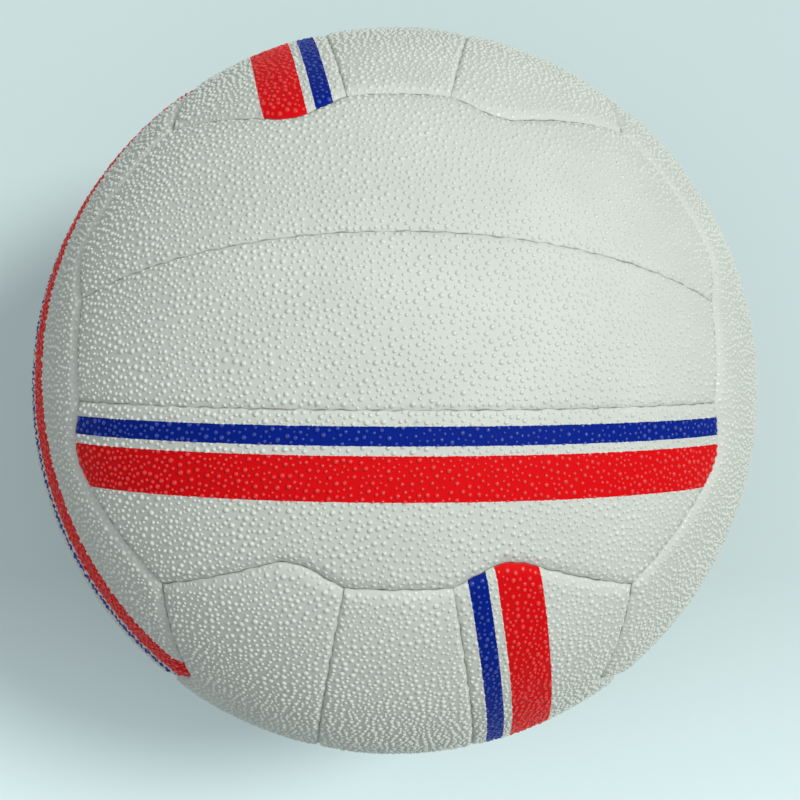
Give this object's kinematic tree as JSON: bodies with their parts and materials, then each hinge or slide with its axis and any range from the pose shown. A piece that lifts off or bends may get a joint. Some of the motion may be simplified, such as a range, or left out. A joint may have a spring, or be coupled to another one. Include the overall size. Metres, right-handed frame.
{
  "type": "netball",
  "caption": "Round match ball of sewn, pimpled rubber panels in strips at right angles over cloth linings, with a bladder inside and a needle valve at the back",
  "frame": {"origin": "centre of the ball", "axes": "+Z through the middle of the face that the picture shows, whose strips run along X; +Y out through the valve; the six faces of strips lie on the six axis directions"},
  "size_m": [0.2228, 0.2227, 0.2228],
  "materials": {
    "cover_rubber": "pimpled, matt, printed with plain bands",
    "lining_cloth": "woven poly-cotton, laminated",
    "seam_thread": "waxed polyester thread",
    "bladder_rubber": "smooth butyl",
    "valve_rubber": "moulded, matt"
  },
  "bodies": {
    "root": {"bladder": "bladder_rubber", "cover_back_left": "cover_rubber", "cover_back_middle": "cover_rubber", "cover_back_right": "cover_rubber", "cover_bottom_back": "cover_rubber", "cover_bottom_front": "cover_rubber", "cover_bottom_middle": "cover_rubber", "cover_front_left": "cover_rubber", "cover_front_middle": "cover_rubber", "cover_front_right": "cover_rubber", "cover_left_bottom": "cover_rubber", "cover_left_middle": "cover_rubber", "cover_left_top": "cover_rubber", "cover_right_bottom": "cover_rubber", "cover_right_middle": "cover_rubber", "cover_right_top": "cover_rubber", "cover_top_back": "cover_rubber", "cover_top_front": "cover_rubber", "cover_top_middle": "cover_rubber", "lining_back_left": "lining_cloth", "lining_back_middle": "lining_cloth", "lining_back_right": "lining_cloth", "lining_bottom_back": "lining_cloth", "lining_bottom_front": "lining_cloth", "lining_bottom_middle": "lining_cloth", "lining_front_left": "lining_cloth", "lining_front_middle": "lining_cloth", "lining_front_right": "lining_cloth", "lining_left_bottom": "lining_cloth", "lining_left_middle": "lining_cloth", "lining_left_top": "lining_cloth", "lining_right_bottom": "lining_cloth", "lining_right_middle": "lining_cloth", "lining_right_top": "lining_cloth", "lining_top_back": "lining_cloth", "lining_top_front": "lining_cloth", "lining_top_middle": "lining_cloth", "seam_thread_back": "seam_thread", "seam_thread_bottom": "seam_thread", "seam_thread_front": "seam_thread", "seam_thread_left": "seam_thread", "seam_thread_right": "seam_thread", "seam_thread_top": "seam_thread", "valve_core": "valve_rubber", "valve_stem": "valve_rubber"}
  },
  "joints": []
}
